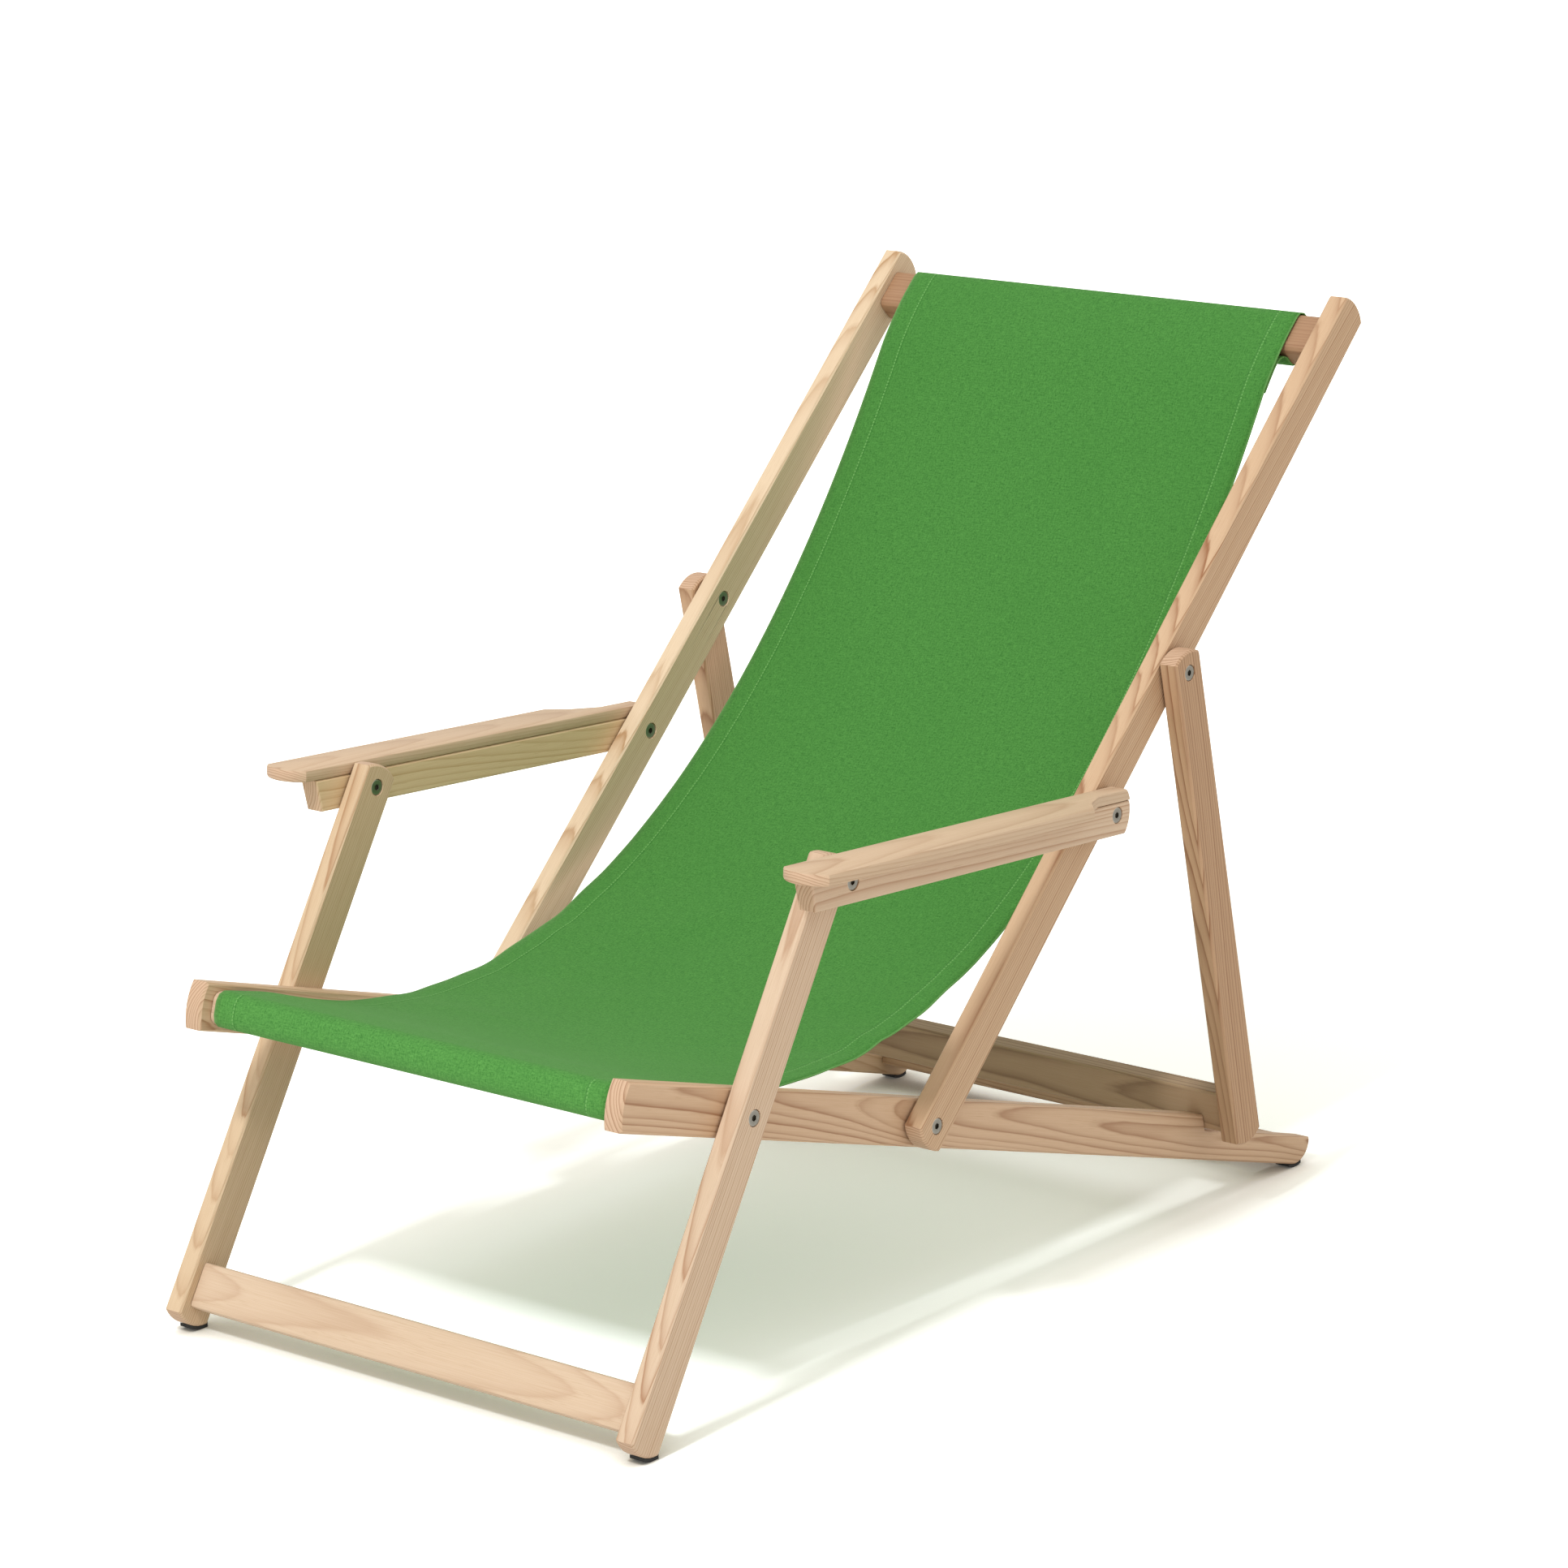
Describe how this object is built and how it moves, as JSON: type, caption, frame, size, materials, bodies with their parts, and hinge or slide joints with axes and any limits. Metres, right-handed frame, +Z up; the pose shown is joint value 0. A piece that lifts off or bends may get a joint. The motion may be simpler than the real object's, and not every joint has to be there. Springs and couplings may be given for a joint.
{
  "type": "folding deck chair",
  "caption": "Folding deck chair: wooden frame with armrests on a four-bar linkage, a swinging prop frame behind the back rest, and a cloth sling hung between a front bar and a top bar.",
  "frame": {"origin": "middle of the bounding box at floor level, chair opened for use", "axes": "+Z up, the sitter faces -Y, +X is to the right when looking along +Y; the chair is symmetric about x = 0"},
  "size_m": [0.66, 1.085, 0.8611],
  "materials": {
    "ash_wood": "oiled, satin",
    "green_canvas": "woven cotton, matt",
    "stainless_steel": "satin",
    "black_pad": "matt"
  },
  "bodies": {
    "seat_frame": {"seat_rail_left": "ash_wood", "seat_rail_right": "ash_wood", "sling_bar_front": "ash_wood", "rear_crossbar": "ash_wood", "sling": "green_canvas", "leg_seat_nut_left": "stainless_steel", "leg_seat_nut_right": "stainless_steel", "back_seat_nut_left": "stainless_steel", "back_seat_nut_right": "stainless_steel", "seat_pad_left": "black_pad", "seat_pad_right": "black_pad"},
    "back_frame": {"back_rail_left": "ash_wood", "back_rail_right": "ash_wood", "top_crossbar": "ash_wood", "back_seat_screw_left": "stainless_steel", "back_seat_screw_right": "stainless_steel", "back_seat_washer_left": "stainless_steel", "back_seat_washer_right": "stainless_steel", "arm_back_nut_left": "stainless_steel", "arm_back_nut_right": "stainless_steel", "prop_back_nut_left": "stainless_steel", "prop_back_nut_right": "stainless_steel"},
    "front_legs": {"front_leg_left": "ash_wood", "front_leg_right": "ash_wood", "front_stretcher": "ash_wood", "leg_pad_left": "black_pad", "leg_pad_right": "black_pad", "leg_seat_screw_left": "stainless_steel", "leg_seat_screw_right": "stainless_steel", "leg_seat_washer_left": "stainless_steel", "leg_seat_washer_right": "stainless_steel", "arm_leg_nut_left": "stainless_steel", "arm_leg_nut_right": "stainless_steel"},
    "armrests": {"armrest_rail_left": "ash_wood", "armrest_rail_right": "ash_wood", "armrest_board_left": "ash_wood", "armrest_board_right": "ash_wood", "arm_leg_screw_left": "stainless_steel", "arm_leg_screw_right": "stainless_steel", "arm_leg_washer_left": "stainless_steel", "arm_leg_washer_right": "stainless_steel", "arm_back_screw_left": "stainless_steel", "arm_back_screw_right": "stainless_steel", "arm_back_washer_left": "stainless_steel", "arm_back_washer_right": "stainless_steel"},
    "prop_frame": {"prop_leg_left": "ash_wood", "prop_leg_right": "ash_wood", "prop_crossbar": "ash_wood", "prop_back_screw_left": "stainless_steel", "prop_back_screw_right": "stainless_steel", "prop_back_washer_left": "stainless_steel", "prop_back_washer_right": "stainless_steel"}
  },
  "joints": [
    {"name": "back_fold", "type": "hinge", "parent": "seat_frame", "child": "back_frame", "pos_m": [0, -0.12344, 0.19761], "axis": [1, 0, 0], "range_deg": [-60, 0], "deforming": ["sling"]},
    {"name": "leg_fold", "type": "hinge", "parent": "seat_frame", "child": "front_legs", "pos_m": [0, -0.37737, 0.26821], "axis": [1, 0, 0], "range_deg": [-75, 0]},
    {"name": "armrest_tilt", "type": "hinge", "parent": "back_frame", "child": "armrests", "pos_m": [0, 0.11726, 0.43738], "axis": [1, 0, 0], "range_deg": [0, 47.5]},
    {"name": "prop_fold", "type": "hinge", "parent": "back_frame", "child": "prop_frame", "pos_m": [0, 0.23001, 0.5497], "axis": [1, 0, 0], "range_deg": [0, 123]}
  ],
  "couplings": [
    {"joint": "leg_fold", "follows": "back_fold", "ratio": 1.248},
    {"joint": "armrest_tilt", "follows": "back_fold", "ratio": -0.789},
    {"joint": "prop_fold", "follows": "back_fold", "ratio": -2.05}
  ]
}
